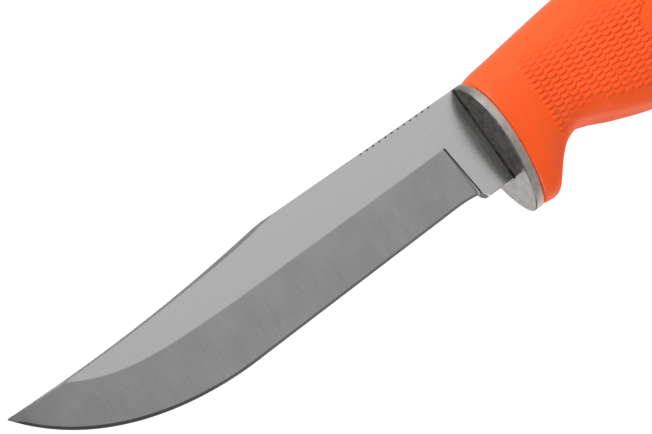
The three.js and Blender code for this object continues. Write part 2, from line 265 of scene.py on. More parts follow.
def strip_faces(first, second, sides):
    """Quads between two rings of vertices that start at these indices."""
    faces = []
    for side in range(sides):
        following = (side + 1) % sides
        faces.append((first + side, first + following, second + following, second + side))
    return faces


def loft(rings, capped=True):
    """A skin over rings (ring, side, xyz).

    It is capped at both ends with a hub point each, which come last, or joined from the last ring to the
    first.
    """
    count, sides = rings.shape[:2]
    points = rings.reshape(-1, 3)
    faces = []
    for ring in range(count - 1):
        faces += strip_faces(ring * sides, (ring + 1) * sides, sides)
    if not capped:
        faces += strip_faces((count - 1) * sides, 0, sides)
        return points, faces
    hubs = np.array([rings[0].mean(axis=0), rings[-1].mean(axis=0)])
    first_hub = len(points)
    last = (count - 1) * sides
    for side in range(sides):
        following = (side + 1) % sides
        faces.append((first_hub, following, side))
        faces.append((first_hub + 1, last + side, last + following))
    return np.vstack([points, hubs]), faces


def straight_through(line, x):
    """Straight lines between the points of a line, read at x."""
    return np.interp(x, *zip(*line))


def through(line, x):
    """A smooth curve through the points of a line, read at x, as the CAD model draws its lines."""
    knots, values = np.array(line, float).T
    slopes = np.empty_like(values)
    slopes[1:-1] = (values[2:] - values[:-2]) / (knots[2:] - knots[:-2])
    slopes[0] = (values[1] - values[0]) / (knots[1] - knots[0])
    slopes[-1] = (values[-1] - values[-2]) / (knots[-1] - knots[-2])
    x = np.asarray(x, float)
    i = np.clip(np.searchsorted(knots, x) - 1, 0, len(knots) - 2)
    width = knots[i + 1] - knots[i]
    t = np.clip((x - knots[i]) / width, 0, 1)
    rise = t * t * (3 - 2 * t)
    pull = width * t * (1 - t) * ((1 - t) * slopes[i] - t * slopes[i + 1])
    return values[i] + (values[i + 1] - values[i]) * rise + pull


def bezier(a, b, c, d, count=400):
    t = np.linspace(0, 1, count)[:, None]
    a, b, c, d = (np.array(point, float) for point in (a, b, c, d))
    return (1 - t) ** 3 * a + 3 * t * (1 - t) ** 2 * b + 3 * t * t * (1 - t) * c + t ** 3 * d


def height_along(curve, x):
    """The height at x of a curve whose x falls."""
    return np.interp(x, curve[::-1, 0], curve[::-1, 1])


def between(start, end, x):
    """The height at x of the straight line through two points."""
    return start[1] + (end[1] - start[1]) * (x - start[0]) / (end[0] - start[0])


def smooth(t):
    t = np.clip(t, 0, 1)
    return t * t * (3 - 2 * t)


def carve(piece, cutters):
    """Cuts closed meshes, given as (points in mm, faces), out of a piece."""
    tool_points = []
    tool_faces = []
    start = 0
    for points, faces in cutters:
        tool_points.append(points)
        tool_faces += [tuple(start + index for index in face) for face in faces]
        start += len(points)
    mesh = bpy.data.meshes.new("cutter")
    mesh.from_pydata(in_row(np.vstack(tool_points)).tolist(), [], tool_faces)
    tool = bpy.data.objects.new("cutter", mesh)
    bpy.context.scene.collection.objects.link(tool)
    cut = piece.modifiers.new("cut", "BOOLEAN")
    cut.operation = "DIFFERENCE"
    cut.solver = "MANIFOLD"
    cut.object = tool
    depsgraph = bpy.context.evaluated_depsgraph_get()
    carved = bpy.data.meshes.new_from_object(piece.evaluated_get(depsgraph))
    piece.modifiers.clear()
    piece.data = carved
    bpy.data.objects.remove(tool)


def turned_rings(centre_x, centre_z, profile, sides):
    """Circles about a line along Y, one for each (y, radius) point."""
    turn = np.linspace(0, 2 * math.pi, sides, endpoint=False)
    rings = []
    for y, radius in profile:
        x = centre_x + radius * np.cos(turn)
        z = centre_z - radius * np.sin(turn)
        rings.append(np.column_stack([x, np.full(sides, y), z]))
    return np.array(rings)


def rod_along_y(centre_x, centre_z, profile, sides=72):
    """A closed solid of revolution about a line along Y, from (y, radius) points."""
    return loft(turned_rings(centre_x, centre_z, profile, sides))


# ---- Blade ----

belly_curve = bezier(*BELLY)
grind_curve = bezier(*GRIND)


def edge_z(x):
    """The height of the cutting edge, which dips in a short sweep to the heel."""
    line_end = (HEEL[0], HEEL[1] + EDGE_SWEEP_DROP)
    swept = np.clip((x - EDGE_SWEEP_X) / (HEEL[0] - EDGE_SWEEP_X), 0, 1)
    straight = between(line_end, BELLY_START, x) - EDGE_SWEEP_DROP * swept ** 2
    return np.where(x > BELLY_START[0], straight, height_along(belly_curve, x))


def grind_z(x):
    """The height of the line where the flat meets the ground bevel."""
    rear = between(GRIND_REAR, GRIND_BEND, x)
    past_front = GRIND_FRONT[1] + GRIND_FRONT_SLOPE * (GRIND_FRONT[0] - x)
    middle = height_along(grind_curve, x)
    return np.where(x > GRIND_BEND[0], rear, np.where(x > GRIND_FRONT[0], middle, past_front))


def spine_z(x):
    """The height of the spine and the clip, which meet in a short curve."""
    clip = CLIP_FLAT[1] + (x - CLIP_FLAT[0]) ** 2 / (2 * CLIP_RADIUS)
    nearness = np.maximum(CLIP_BLEND - np.abs(clip - SPINE_Z), 0) / CLIP_BLEND
    return np.minimum(clip, SPINE_Z) - nearness ** 2 * CLIP_BLEND / 4


def jimping_depth(x):
    """How far the notches across the spine reach down at x."""
    depth = np.zeros_like(x)
    for i in range(JIMP_COUNT):
        away = np.abs(x - (JIMP_FIRST_X - i * JIMP_PITCH))
        reach = np.sqrt(np.maximum(JIMP_RADIUS ** 2 - away ** 2, 0)) - JIMP_LIFT
        depth = np.maximum(depth, reach)
    return depth


def edge_bevel(x):
    """The height of the honed bevel along the cutting edge."""
    return straight_through(EDGE_BEVELS, x)


def swedge_height(x):
    """The height of the narrow bevel along the clip."""
    return np.maximum(through(SWEDGE_HEIGHTS, x), 0)


def blade_stations():
    """The places of the blade's rings, close together at the tip, the notches and the plunge."""
    tip = TIP[0] + TIP_BLUNT + TIP_ZONE * np.linspace(0, 1, 26) ** TIP_CROWDING
    body = np.arange(tip[-1] + BODY_STEP, BODY_END_X, BODY_STEP)
    last_notch = JIMP_FIRST_X - (JIMP_COUNT - 1) * JIMP_PITCH
    notches = np.arange(last_notch - NOTCH_MARGIN, JIMP_FIRST_X + NOTCH_MARGIN, NOTCH_STEP)
    plunge_start = HEEL[0] - PLUNGE_MARGINS[0]
    plunge_end = RICASSO_FRONT_X + RICASSO_SLOPE + PLUNGE_MARGINS[1]
    plunge = np.arange(plunge_start, plunge_end, PLUNGE_STEP)
    rear = np.linspace(JIMP_FIRST_X + REAR_MARGIN, BLADE_REAR_X, 14)
    return np.unique(np.concatenate([tip, body, notches, plunge, rear]).round(4))


def bevel_height(x):
    """The honed bevel's height, which shrinks with the blade's depth at the tip."""
    return np.minimum(edge_bevel(x), TIP_BEVEL_SHARE * (spine_z(x) - edge_z(x)))


def foot_z(x, ramp):
    """The height of the section's lower end: the cutting edge, then the ricasso's sloped foot."""
    sloped = np.clip((x - RICASSO_FRONT_X) / RICASSO_SLOPE, 0, 1)
    risen = (1 - sloped) ** RICASSO_SLOPE_POWER
    ricasso_foot = HEEL_FOOT_Z + (RICASSO_Z - HEEL_FOOT_Z) * (1 - risen)
    edge_foot = edge_z(x) + (HEEL_FOOT_Z - HEEL[1]) * ramp
    return np.where(x > RICASSO_FRONT_X, ricasso_foot, edge_foot)


def blade_corners(x):
    """The ten corners of the section at each x, as (station, corner, (y, z)), turning from +Y to +Z.

    At the tip, the details are sized by shares of the blade's depth.
    """
    top = spine_z(x)
    edge = edge_z(x)
    depth = top - edge
    swedge = np.maximum(swedge_height(x), np.minimum(CORNER, TIP_SWEDGE_SHARE * depth))
    bevel = bevel_height(x)
    behind_share = np.minimum(1, BEHIND_EDGE_TIP_SHARE + depth / BEHIND_EDGE_FULL_DEPTH)
    behind = BEHIND_EDGE / 2 * behind_share
    slope = (STOCK / 2 - behind) / (grind_z(x) - edge - bevel)

    def half_at(z):
        return np.minimum(STOCK / 2, behind + slope * (z - edge - bevel))

    side = top - swedge
    grind = np.minimum(grind_z(x), side - TIP_FLAT_SHARE * depth)
    ramp = np.clip((x - HEEL[0]) / PLUNGE_WIDTH, 0, 1)
    wall = 1 - np.sqrt(1 - ramp ** 2)
    foot = foot_z(x, ramp)
    notch = jimping_depth(x)
    half = np.array([
        [EDGE_LAND / 2 + (STOCK / 2 - CORNER - EDGE_LAND / 2) * wall, foot],
        [behind + (STOCK / 2 - behind) * wall, foot + bevel + (CORNER - bevel) * ramp],
        [half_at(grind), grind],
        [half_at(side), side - notch],
        [half_at(side) - swedge * SWEDGE_LEAN * half_at(side) / STOCK, top - notch],
    ])
    half = np.moveaxis(half, 2, 0)
    other = half[:, ::-1] * (-1, 1)
    return np.concatenate([half, other], axis=1)


def round_corners(corners, rounds):
    """Each corner of closed outlines, rounded off, with a supporting point on either side."""
    before = np.roll(corners, 1, axis=1) - corners
    after = np.roll(corners, -1, axis=1) - corners
    before_length = np.linalg.norm(before, axis=2, keepdims=True)
    after_length = np.linalg.norm(after, axis=2, keepdims=True)
    most = CORNER_MOST_SHARE * np.minimum(before_length, after_length)
    reach = np.minimum(np.array(rounds)[None, :, None], most)
    before = before / before_length * reach
    after = after / after_length * reach
    points = [corners + before * CORNER_SUPPORT, corners + before]
    for t in CORNER_STEPS:
        points.append(corners + (1 - t) ** 2 * before + t * t * after)
    points += [corners + after, corners + after * CORNER_SUPPORT]
    stacked = np.stack(points, axis=2)
    return stacked.reshape(len(corners), -1, 2)


def tang_corners(top, bottom):
    """The ten corners of the tang's section, which pair with the blade's."""
    half = [
        (TANG_HALF - CORNER, bottom),
        (TANG_HALF, bottom + CORNER),
        (TANG_HALF, 0.3 * top + 0.7 * bottom),
        (TANG_HALF, top - CORNER),
        (TANG_HALF - CORNER, top),
    ]
    return np.array(half + [(-y, z) for y, z in half[::-1]])


def plunge_shift(z):
    """How far the plunge line runs back from the heel at z: it leans, and its top corner is rounded."""
    below = np.maximum(0, GRIND_REAR[1] - z) / (GRIND_REAR[1] - RICASSO_Z)
    turned = 1 - smooth(np.abs(z - GRIND_REAR[1]) / PLUNGE_CORNER)
    return PLUNGE_LEAN * below - PLUNGE_CORNER_PULL * PLUNGE_CORNER * turned


def body_rings(rounds):
    """The rings of the blade from its tip to the guard. Those at the plunge follow its line."""
    x = blade_stations()
    outline = round_corners(blade_corners(x), rounds)
    fade = np.maximum(0, 1 - np.abs(x - HEEL[0]) / PLUNGE_FADE)[:, None]
    leaned = x[:, None] + plunge_shift(outline[..., 1]) * fade
    return np.concatenate([leaned[..., None], outline], axis=2)


def tang_rings(rounds):
    """The rings of the tang, which narrows evenly and has a round end."""
    end_radius = (TANG_END[0] - TANG_END[1]) / 2
    end_centre = TANG_END_X - end_radius
    even = np.linspace(TANG_FIRST_X[1], end_centre, 20)
    round_end = end_centre + end_radius * np.sin(np.radians(TANG_END_TURNS))
    tang_x = np.concatenate([[BLADE_REAR_X, TANG_FIRST_X[0]], even, round_end])
    corners = []
    for at in tang_x:
        along = min(at, end_centre) / end_centre
        top = TANG_ROOT[0] + (TANG_END[0] - TANG_ROOT[0]) * along
        bottom = TANG_ROOT[1] + (TANG_END[1] - TANG_ROOT[1]) * along
        if at > end_centre:
            reach = math.sqrt(end_radius ** 2 - (at - end_centre) ** 2)
            middle = (TANG_END[0] + TANG_END[1]) / 2
            top, bottom = middle + reach, middle - reach
        corners.append(tang_corners(top, bottom))
    outline = round_corners(np.array(corners), rounds)
    stations = np.broadcast_to(tang_x[:, None, None], outline.shape[:2] + (1,))
    return np.concatenate([stations, outline], axis=2)


def make_blade(material):
    rounds = CORNER_ROUNDS + CORNER_ROUNDS[::-1]
    points, faces = loft(np.concatenate([body_rings(rounds), tang_rings(rounds)]))
    blade = make_piece("blade_fine", points, faces, material, 50)
    hole = ((-2 * STOCK, ANCHOR_RADIUS), (2 * STOCK, ANCHOR_RADIUS))
    carve(blade, [rod_along_y(x, ANCHOR_Z, hole, 48) for x in ANCHOR_X])
    finish_shading(blade, 50)
    mark_blade(blade)
    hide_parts("blade")


def vertex_places(piece):
    """The vertices of a piece, in mm from the guard's front face."""
    co = np.empty(len(piece.data.vertices) * 3, np.float32)
    piece.data.vertices.foreach_get("co", co)
    return co.reshape(-1, 3) / MM - ORIGIN


def mark(piece, name, values):
    """Leaves a number on each vertex, for a material to read."""
    attribute = piece.data.attributes.new(name, "FLOAT", "POINT")
    attribute.data.foreach_set("value", np.asarray(values, np.float32))


def in_plunge_line(x, z):
    """Whether a point is in the painted shade line of the plunge, which is thinner lower down."""
    below = np.clip((GRIND_REAR[1] - z) / (GRIND_REAR[1] - RICASSO_Z), 0, 1)
    along = (x - plunge_shift(z) - HEEL[0]) / PLUNGE_WIDTH
    start = PLUNGE_SHADE_START[0] + (PLUNGE_SHADE_START[1] - PLUNGE_SHADE_START[0]) * below
    in_line = (along > start) & (along < PLUNGE_SHADE_END)
    return in_line & (z < GRIND_REAR[1] + PLUNGE_SHADE_OVER) & (z > RICASSO_Z + PLUNGE_SHADE_FOOT)


def mark_blade(blade):
    """Marks the honed bevel along the cutting edge, and painted shade where the steel is darker."""
    x, _, z = vertex_places(blade).T
    along = np.clip(x, TIP[0] + TIP_BLUNT, HEEL[0])
    bevel_top = edge_z(along) + bevel_height(along) + MARK_MARGIN
    # The honed bevel is smoother, and it is given painted shade along the edge.
    honed = (z < bevel_top) & (x < HEEL[0] + HEEL_HONED_REACH)
    mark(blade, "honed", honed)
    top = spine_z(x)
    notch = jimping_depth(x)
    # Painted shade inside the notches across the spine.
    in_notch = (notch > MARK_MARGIN) & (z > top - notch - NOTCH_SHADE_DEPTH)
    swedge = swedge_height(x)
    # Painted shade on the swedge.
    in_swedge = (swedge > CORNER) & (z > top - swedge + MARK_MARGIN)
    # Painted shade in the joint where the blade meets the guard.
    at_guard = np.clip((x - BLADE_REAR_X + BLADE_SHADE_AT_GUARD_REACH[0]) / BLADE_SHADE_AT_GUARD_REACH[1], 0, 1)
    # Painted shade, the strongest of: the notches, the swedge, the plunge line, the joint at the guard
    # and the honed edge.
    painted_shade = [
        in_notch * NOTCH_SHADE,
        in_swedge * SWEDGE_SHADE,
        in_plunge_line(x, z) * PLUNGE_SHADE,
        at_guard * BLADE_SHADE_AT_GUARD,
        honed * straight_through(EDGE_SHADE, x),
    ]
    mark(blade, "painted_shade", np.max(painted_shade, axis=0))


# ---- Guard ----

def guard_outline(inset):
    """The guard's egg-shaped outline, as (y, z) points, moved inwards by the inset."""
    turn = np.linspace(0, 2 * math.pi, GUARD_SIDES, endpoint=False)
    up = np.sin(turn)
    across = GUARD_HALF_WIDTH * (1 + GUARD_EGG * up) * np.cos(turn)
    height = (GUARD_TOP + GUARD_BOTTOM) / 2 + (GUARD_TOP - GUARD_BOTTOM) / 2 * up
    outline = np.column_stack([across, height])
    along = np.roll(outline, -1, axis=0) - np.roll(outline, 1, axis=0)
    inwards = np.column_stack([-along[:, 1], along[:, 0]])
    inwards /= np.linalg.norm(inwards, axis=1, keepdims=True)
    return outline + inwards * inset


def slot_outline():
    """The tang's slot, met by lines from its middle to the guard's outline."""
    centre = np.array([0.0, sum(TANG_ROOT) / 2])
    half = np.array([STOCK / 2 + GAP, (TANG_ROOT[0] - TANG_ROOT[1]) / 2 + GAP])
    away = guard_outline(0) - centre
    reach = np.max(np.abs(away) / half, axis=1, keepdims=True)
    return centre + away / reach


def make_guard(material):
    slot = slot_outline()
    face = slot + GUARD_FACE_SHARE * (guard_outline(GUARD_FACE_INSET) - slot)
    edge = guard_outline(GUARD_ROUND + GUARD_EDGE_SUPPORT)
    front = [(0, slot), (0, face), (0, edge)]
    rear = [(GUARD_THICKNESS, edge), (GUARD_THICKNESS, face), (GUARD_THICKNESS, slot)]
    front_round = []
    rear_round = []
    for turn in np.radians(np.linspace(0, 90, GUARD_ROUND_STEPS)):
        x = GUARD_ROUND * (1 - math.cos(turn))
        outline = guard_outline(GUARD_ROUND * (1 - math.sin(turn)))
        front_round.append((x, outline))
        rear_round.insert(0, (GUARD_THICKNESS - x, outline))
    loops = front + front_round + rear_round + rear
    rings = [np.column_stack([np.full(GUARD_SIDES, x), outline]) for x, outline in loops]
    points, faces = loft(np.array(rings), capped=False)
    guard = make_piece("guard_fine", points, faces, material)
    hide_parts("guard")


# ---- Grip ----

def handle_side(x, up):
    """The half width at up, as a share of the widest. Below, beside the finger recess, it is squarer."""
    power = SQUARENESS + np.where(up < 0, straight_through(SQUARER_BELOW, x), 0)
    return (1 - np.abs(up) ** power).clip(0) ** (1 / power)


def handle_surface(x, side, up, inset=0.0):
    """Points on the handle's skin, or this far inside it.

    side is -1, 0 or 1, and up runs from -1 at the belly to 1 at the back.
    """
    top = through(BACK_LINE, x) - inset
    bottom = through(BELLY_LINE, x) + inset
    half = through(HALF_THICKNESS, x) - inset
    y = side * half * (1 + through(EGG, x) * up) * handle_side(x, up)
    z = (top + bottom) / 2 + (top - bottom) / 2 * up
    rake = np.maximum(0, x - BUTT_RAKE_START_X) / (HANDLE_END_X - BUTT_RAKE_START_X)
    return np.stack([x - BUTT_RAKE * rake * (z - BELLY_LINE[0][1]), y, z], axis=-1)


def height_to_up(x, z):
    """The up of a height on the handle."""
    top = through(BACK_LINE, x)
    bottom = through(BELLY_LINE, x)
    return (z - (top + bottom) / 2) / ((top - bottom) / 2)


def scale_column(x):
    """The column of scales that x falls in, and how far across the column it is."""
    along = (x - SCALE_FIRST_X) / SCALE_WIDTH
    column = np.floor(along)
    return column, along - column


def row_edge(x, row):
    """The height of the lower lips of a row of scales. Every other column stands half a scale higher."""
    column, across = scale_column(x)
    lip = SCALE_DIP * (1 - np.abs(2 * across - 1) ** SCALE_CORNER_POWER)
    return SCALE_BOTTOM_Z + (row + np.mod(column, 2) / 2) * SCALE_PITCH - lip


def texture_floor(x):
    """The lowest height at x that the scales reach."""
    return through(BELLY_LINE, x) + straight_through(TEXTURE_ABOVE_BELLY, x)


def scale_height(x, row):
    """How far the scale of this row stands out at x, before its own slope."""
    column, across = scale_column(x)
    centre_x = SCALE_FIRST_X + (column + 0.5) * SCALE_WIDTH
    centre_z = SCALE_BOTTOM_Z + (row + np.mod(column, 2) / 2 + SCALE_CENTRE) * SCALE_PITCH
    inside = (centre_x > TEXTURE_FRONT_X) & (centre_x < TEXTURE_REAR_X)
    fade = 1 - smooth((centre_z - TEXTURE_FADE_Z[0]) / (TEXTURE_FADE_Z[1] - TEXTURE_FADE_Z[0]))
    foot_fade = straight_through(TEXTURE_FOOT_FADE, centre_x)
    fade = fade * smooth((centre_z - texture_floor(centre_x)) / foot_fade)
    crown = 1 - SCALE_CROWN * np.abs(2 * across - 1) ** SCALE_CORNER_POWER
    return SCALE_RISE * inside * fade * crown


def in_panel(x, z):
    """Whether a point lies inside the blank oval panel."""
    along = (x - PANEL_CENTRE[0]) / PANEL_RADII[0]
    up = (z - PANEL_CENTRE[1]) / PANEL_RADII[1]
    return along ** 2 + up ** 2 < 1


def grip_lines(x):
    """The heights, rises and creases of the mesh's lines on one side, for each x."""
    heights = []
    rises = []
    creases = []
    for row in range(SCALE_ROWS):
        low = row_edge(x, row)
        high = row_edge(x, row + 1)
        next_rise = scale_height(x, row + 1)
        for level, share in SCALE_LEVELS:
            heights.append(low + level * (high - low))
            rises.append(share * scale_height(x, row))
            creases.append((level == CREASE_LEVEL) * next_rise / SCALE_RISE)
    heights.append(row_edge(x, SCALE_ROWS))
    rises.append(np.zeros_like(x))
    creases.append(np.zeros_like(x))
    heights = press_lines(x, np.array(heights).T)
    return heights, np.array(rises).T, np.array(creases).T


def press_lines(x, heights):
    """The heights, but lines that would run below the scales are pressed together above the belly."""
    floor = (texture_floor(x) - LINES_BELOW_TEXTURE)[:, None]
    lowest = SCALE_BOTTOM_Z - SCALE_DIP
    room = np.minimum(floor - lowest, PRESSED_LINES_ROOM)
    share = np.clip((floor - heights) / np.maximum(floor - lowest, 1e-6), 0, 1)
    pressed = floor - share * room
    return np.where((heights < floor) & (floor > lowest), pressed, heights)


def arc_ups(edge_up, steps, sign):
    """Ups from the back (sign 1) or the belly (sign -1) towards the nearest line, at edge_up."""
    edge_angle = np.degrees(np.arcsin(np.clip(np.abs(edge_up), 0, 1) ** (SQUARENESS / 2)))
    angles = [np.full_like(edge_up, degrees) for degrees in PARTING_DEGREES]
    start = PARTING_DEGREES[-1]
    for step in range(1, steps):
        angles.append(start + (edge_angle - start) * step / steps)
    return sign * np.sin(np.radians(np.array(angles).T)) ** (2 / SQUARENESS)


def grip_section(x):
    """Ups, sides, rises and creases all the way round, for each x."""
    heights, rises, creases = grip_lines(x)
    lines = height_to_up(x[:, None], heights)
    belly_arc = arc_ups(lines[:, 0], ARC_STEPS, -1)
    back_arc = arc_ups(lines[:, -1], ARC_STEPS, 1)[:, ::-1]
    plain_belly = np.zeros_like(belly_arc)
    plain_back = np.zeros_like(back_arc)
    flank = np.concatenate([belly_arc, lines, back_arc], axis=1)
    flank_rise = np.concatenate([plain_belly, rises, plain_back], axis=1)
    flank_crease = np.concatenate([plain_belly, creases, plain_back], axis=1)
    one = np.ones((len(x), 1))
    zero = 0 * one
    parting = PARTING_RISE * one
    ups = np.concatenate([-one, flank, one, flank[:, ::-1]], axis=1)
    sides = np.concatenate([zero, np.ones_like(flank), zero, -np.ones_like(flank)], axis=1)
    rise = np.concatenate([parting, flank_rise, parting, flank_rise[:, ::-1]], axis=1)
    crease_shade = np.concatenate([zero, flank_crease, zero, flank_crease[:, ::-1]], axis=1)
    return ups, sides, rise, crease_shade


def grip_stations():
    """The places of the skin's rings: the smooth collar, the columns of scales, and the rear."""
    front = HANDLE_FRONT_X + FRONT_ROUND
    collar = np.linspace(front, SCALE_FIRST_X, 14, endpoint=False)
    columns = np.arange(int((TEXTURE_REAR_X + 2 - SCALE_FIRST_X) / SCALE_WIDTH))
    scaled = (SCALE_FIRST_X + SCALE_WIDTH * (columns[:, None] + SCALE_SAMPLES)).ravel()
    rear = np.linspace(scaled[-1] + 1, HANDLE_END_X - BUTT_ROUND, 12)
    return np.concatenate([collar, scaled, rear])


def textured_skin(x, ups, sides, rises, creases):
    """The skin's rings with the scales raised along its normals, and its creases. The panel is smooth."""
    stations = np.broadcast_to(x[:, None], ups.shape)
    skin = handle_surface(stations, sides, ups)
    on_panel = in_panel(skin[..., 0], skin[..., 2])
    rises = np.where(on_panel, 0, rises)
    creases = np.where(on_panel, 0, creases)
    along = np.gradient(skin, axis=0)
    around = np.roll(skin, -1, axis=1) - np.roll(skin, 1, axis=1)
    normals = np.cross(around, along)
    normals /= np.linalg.norm(normals, axis=2, keepdims=True)
    return skin + normals * rises[..., None], creases


def handle_ring(x, side, up, inset):
    """One ring of the handle's section at x, this far inside its skin."""
    return handle_surface(np.full_like(up, x), side, up, inset)


def front_rings(side, up):
    """The rings of the space for the core, then of the grip's front face and its rounded edge."""
    rings = []
    for x in np.linspace(CORE_END_X + GAP, HANDLE_FRONT_X, 26):
        rings.append(handle_ring(x, side, up, GRIP_WALL - GAP))
    rings.append(handle_ring(HANDLE_FRONT_X, side, up, GRIP_FACE_INSET))
    for turn in np.radians(np.linspace(0, 75, 6)):
        x = HANDLE_FRONT_X + FRONT_ROUND * (1 - math.cos(turn))
        rings.append(handle_ring(x, side, up, FRONT_ROUND * (1 - math.sin(turn))))
    return rings


def butt_rings(side, up):
    """The rings of the grip's round rear edge and its end face."""
    rings = []
    for turn in np.radians(np.linspace(6, 90, 15)):
        x = HANDLE_END_X - BUTT_ROUND * (1 - math.sin(turn))
        rings.append(handle_ring(x, side, up, BUTT_ROUND * (1 - math.cos(turn))))
    face = rings[-1]
    centre = face.mean(axis=0)
    for share in (0.93, 0.5, 0.15):
        rings.append(centre + (face - centre) * share)
    return rings


def grip_rings():
    """The rings of the grip's mesh, from inside its rear end to its butt, and each point's crease."""
    x = grip_stations()
    ups, sides, rises, creases = grip_section(x)
    skin, skin_creases = textured_skin(x, ups, sides, rises, creases)
    front = front_rings(sides[0], ups[0])
    rings = front + list(skin) + butt_rings(sides[-1], ups[-1])
    creases = np.zeros((len(rings), skin_creases.shape[1]))
    creases[len(front):len(front) + len(skin)] = skin_creases
    return np.array(rings), creases


def flank_y(x, z):
    """How far the grip's side stands from the middle plane."""
    return handle_surface(x, np.ones_like(x), height_to_up(x, z))[..., 1]


def panel_groove(side):
    """The ring-shaped tool that cuts the thin groove round the oval panel."""
    turn = np.linspace(0, 2 * math.pi, 260, endpoint=False)
    x = PANEL_CENTRE[0] + PANEL_RADII[0] * np.cos(turn)
    z = PANEL_CENTRE[1] + PANEL_RADII[1] * np.sin(turn)
    out = np.column_stack([np.cos(turn) / PANEL_RADII[0], np.sin(turn) / PANEL_RADII[1]])
    out /= np.linalg.norm(out, axis=1, keepdims=True)
    rings = []
    for spin in np.linspace(0, 2 * math.pi, 10, endpoint=False):
        across = PANEL_GROOVE * math.cos(spin)
        deep = PANEL_GROOVE * math.sin(spin)
        y = side * (flank_y(x, z) + deep + PANEL_GROOVE_LIFT)
        rings.append(np.column_stack([x + out[:, 0] * across, y, z + out[:, 1] * across]))
    points, faces = loft(np.array(rings), capped=False)
    if side < 0:
        faces = [face[::-1] for face in faces]
    return points, faces


def lanyard_tool():
    """The tool that cuts the lanyard tube's hole and the seats of its lips."""
    floor = LIP_FACE - LIP_THICKNESS - GAP
    wide = LIP_RADIUS + GAP
    edge = flank_y(LANYARD[0:1], LANYARD[2:3])[0]
    half = [
        (floor, TUBE_RADIUS + GAP),
        (floor, wide),
        (edge - SEAT_FLARE, wide),
        (edge + SEAT_RISE, wide + SEAT_RISE + SEAT_FLARE),
    ]
    profile = [(-y, radius) for y, radius in half[::-1]] + half
    return rod_along_y(LANYARD[0], LANYARD[2], profile)


def make_grip(material):
    rings, creases = grip_rings()
    points, faces = loft(rings)
    grip = make_piece("grip_fine", points, faces, material, 42)
    plain_hubs = (0.0, 0.0)
    # Painted shade in the creases under the scales' lips.
    mark(grip, "crease_shade", np.append(creases, plain_hubs))
    carve(grip, [lanyard_tool()] + [panel_groove(side) for side in SIDES_OF_KNIFE])
    finish_shading(grip, 42)
    x = vertex_places(grip)[:, 0]
    # Painted shade at the grip's front edge, against the guard.
    mark(grip, "seam_shade", np.clip((HANDLE_FRONT_X + SEAM_WIDTH - x) / SEAM_WIDTH, 0, SEAM_SHADE))
    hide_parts("grip")


# ---- Lanyard tube ----

def make_tube(material):
    neck = LIP_FACE - LIP_THICKNESS
    half = []
    for turn in np.radians(np.linspace(90, 0, 7)):
        y = LIP_FACE - LIP_FLARE + LIP_FLARE * math.cos(turn)
        half.append((y, BORE_RADIUS + LIP_FLARE - LIP_FLARE * math.sin(turn)))
    for turn in np.radians(np.linspace(0, 90, 5)):
        y = LIP_FACE - LIP_CORNER + LIP_CORNER * math.cos(turn)
        half.append((y, LIP_RADIUS - LIP_CORNER + LIP_CORNER * math.sin(turn)))
    half += [(neck, LIP_RADIUS), (neck, TUBE_RADIUS)]
    profile = half + [(-y, radius) for y, radius in half[::-1]]
    rings = turned_rings(LANYARD[0], LANYARD[2], profile, TUBE_SIDES)
    points, faces = loft(rings, capped=False)
    faces = [face[::-1] for face in faces]
    tube = make_piece("lanyard_tube_fine", points, faces, material, 35)
    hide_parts("lanyard_tube")


# ---- Materials ----

def new_material(name):
    material = bpy.data.materials.new(name)
    material.use_nodes = True
    tree = material.node_tree
    tree.nodes.clear()
    output = tree.nodes.new("ShaderNodeOutputMaterial")
    shader = tree.nodes.new("ShaderNodeBsdfPrincipled")
    tree.links.new(shader.outputs["BSDF"], output.inputs["Surface"])
    return material, tree, shader


def place_of_surface(tree):
    return tree.nodes.new("ShaderNodeTexCoord").outputs["Object"]


def noise(tree, vector, size_mm, detail, roughness, stretch=(1, 1, 1)):
    """The value of noise with features of about this size, stretched this much along X, Y and Z."""
    mapping = tree.nodes.new("ShaderNodeMapping")
    mapping.inputs["Scale"].default_value = [1 / (MM * size_mm * s) for s in stretch]
    tree.links.new(vector, mapping.inputs["Vector"])
    node = tree.nodes.new("ShaderNodeTexNoise")
    node.inputs["Scale"].default_value = 1.0
    node.inputs["Detail"].default_value = detail
    node.inputs["Roughness"].default_value = roughness
    tree.links.new(mapping.outputs["Vector"], node.inputs["Vector"])
    return node.outputs["Fac"]


def map_range(tree, value, to_min, to_max, from_min=0.3, from_max=0.7):
    """The value, mapped from one range to another. The usual first range is that of noise."""
    node = tree.nodes.new("ShaderNodeMapRange")
    node.inputs["From Min"].default_value = from_min
    node.inputs["From Max"].default_value = from_max
    node.inputs["To Min"].default_value = to_min
    node.inputs["To Max"].default_value = to_max
    tree.links.new(value, node.inputs["Value"])
    return node.outputs["Result"]


def math_node(tree, operation, first, second):
    """A sum or another operation on two values, each a number or a socket."""
    node = tree.nodes.new("ShaderNodeMath")
    node.operation = operation
    for socket, value in zip(node.inputs, (first, second)):
        if isinstance(value, (int, float)):
            socket.default_value = value
        else:
            tree.links.new(value, socket)
    return node.outputs["Value"]


def add(tree, first, second):
    return math_node(tree, "ADD", first, second)


def multiply(tree, first, second):
    return math_node(tree, "MULTIPLY", first, second)


def mix_colours(tree, factor, first, second):
    """The first colour where the factor is 0 and the second where it is 1."""
    node = tree.nodes.new("ShaderNodeMix")
    node.data_type = "RGBA"
    node.inputs["Factor"].default_value = 0.5
    tree.links.new(factor, node.inputs["Factor"])
    for socket, value in ((node.inputs[6], first), (node.inputs[7], second)):
        if isinstance(value, tuple):
            socket.default_value = (*value, 1.0)
        else:
            tree.links.new(value, socket)
    return node.outputs[2]


def bump(tree, height, depth_mm, below=None):
    node = tree.nodes.new("ShaderNodeBump")
    node.inputs["Strength"].default_value = 1.0
    node.inputs["Distance"].default_value = depth_mm * MM
    tree.links.new(height, node.inputs["Height"])
    if below is not None:
        tree.links.new(below, node.inputs["Normal"])
    return node.outputs["Normal"]


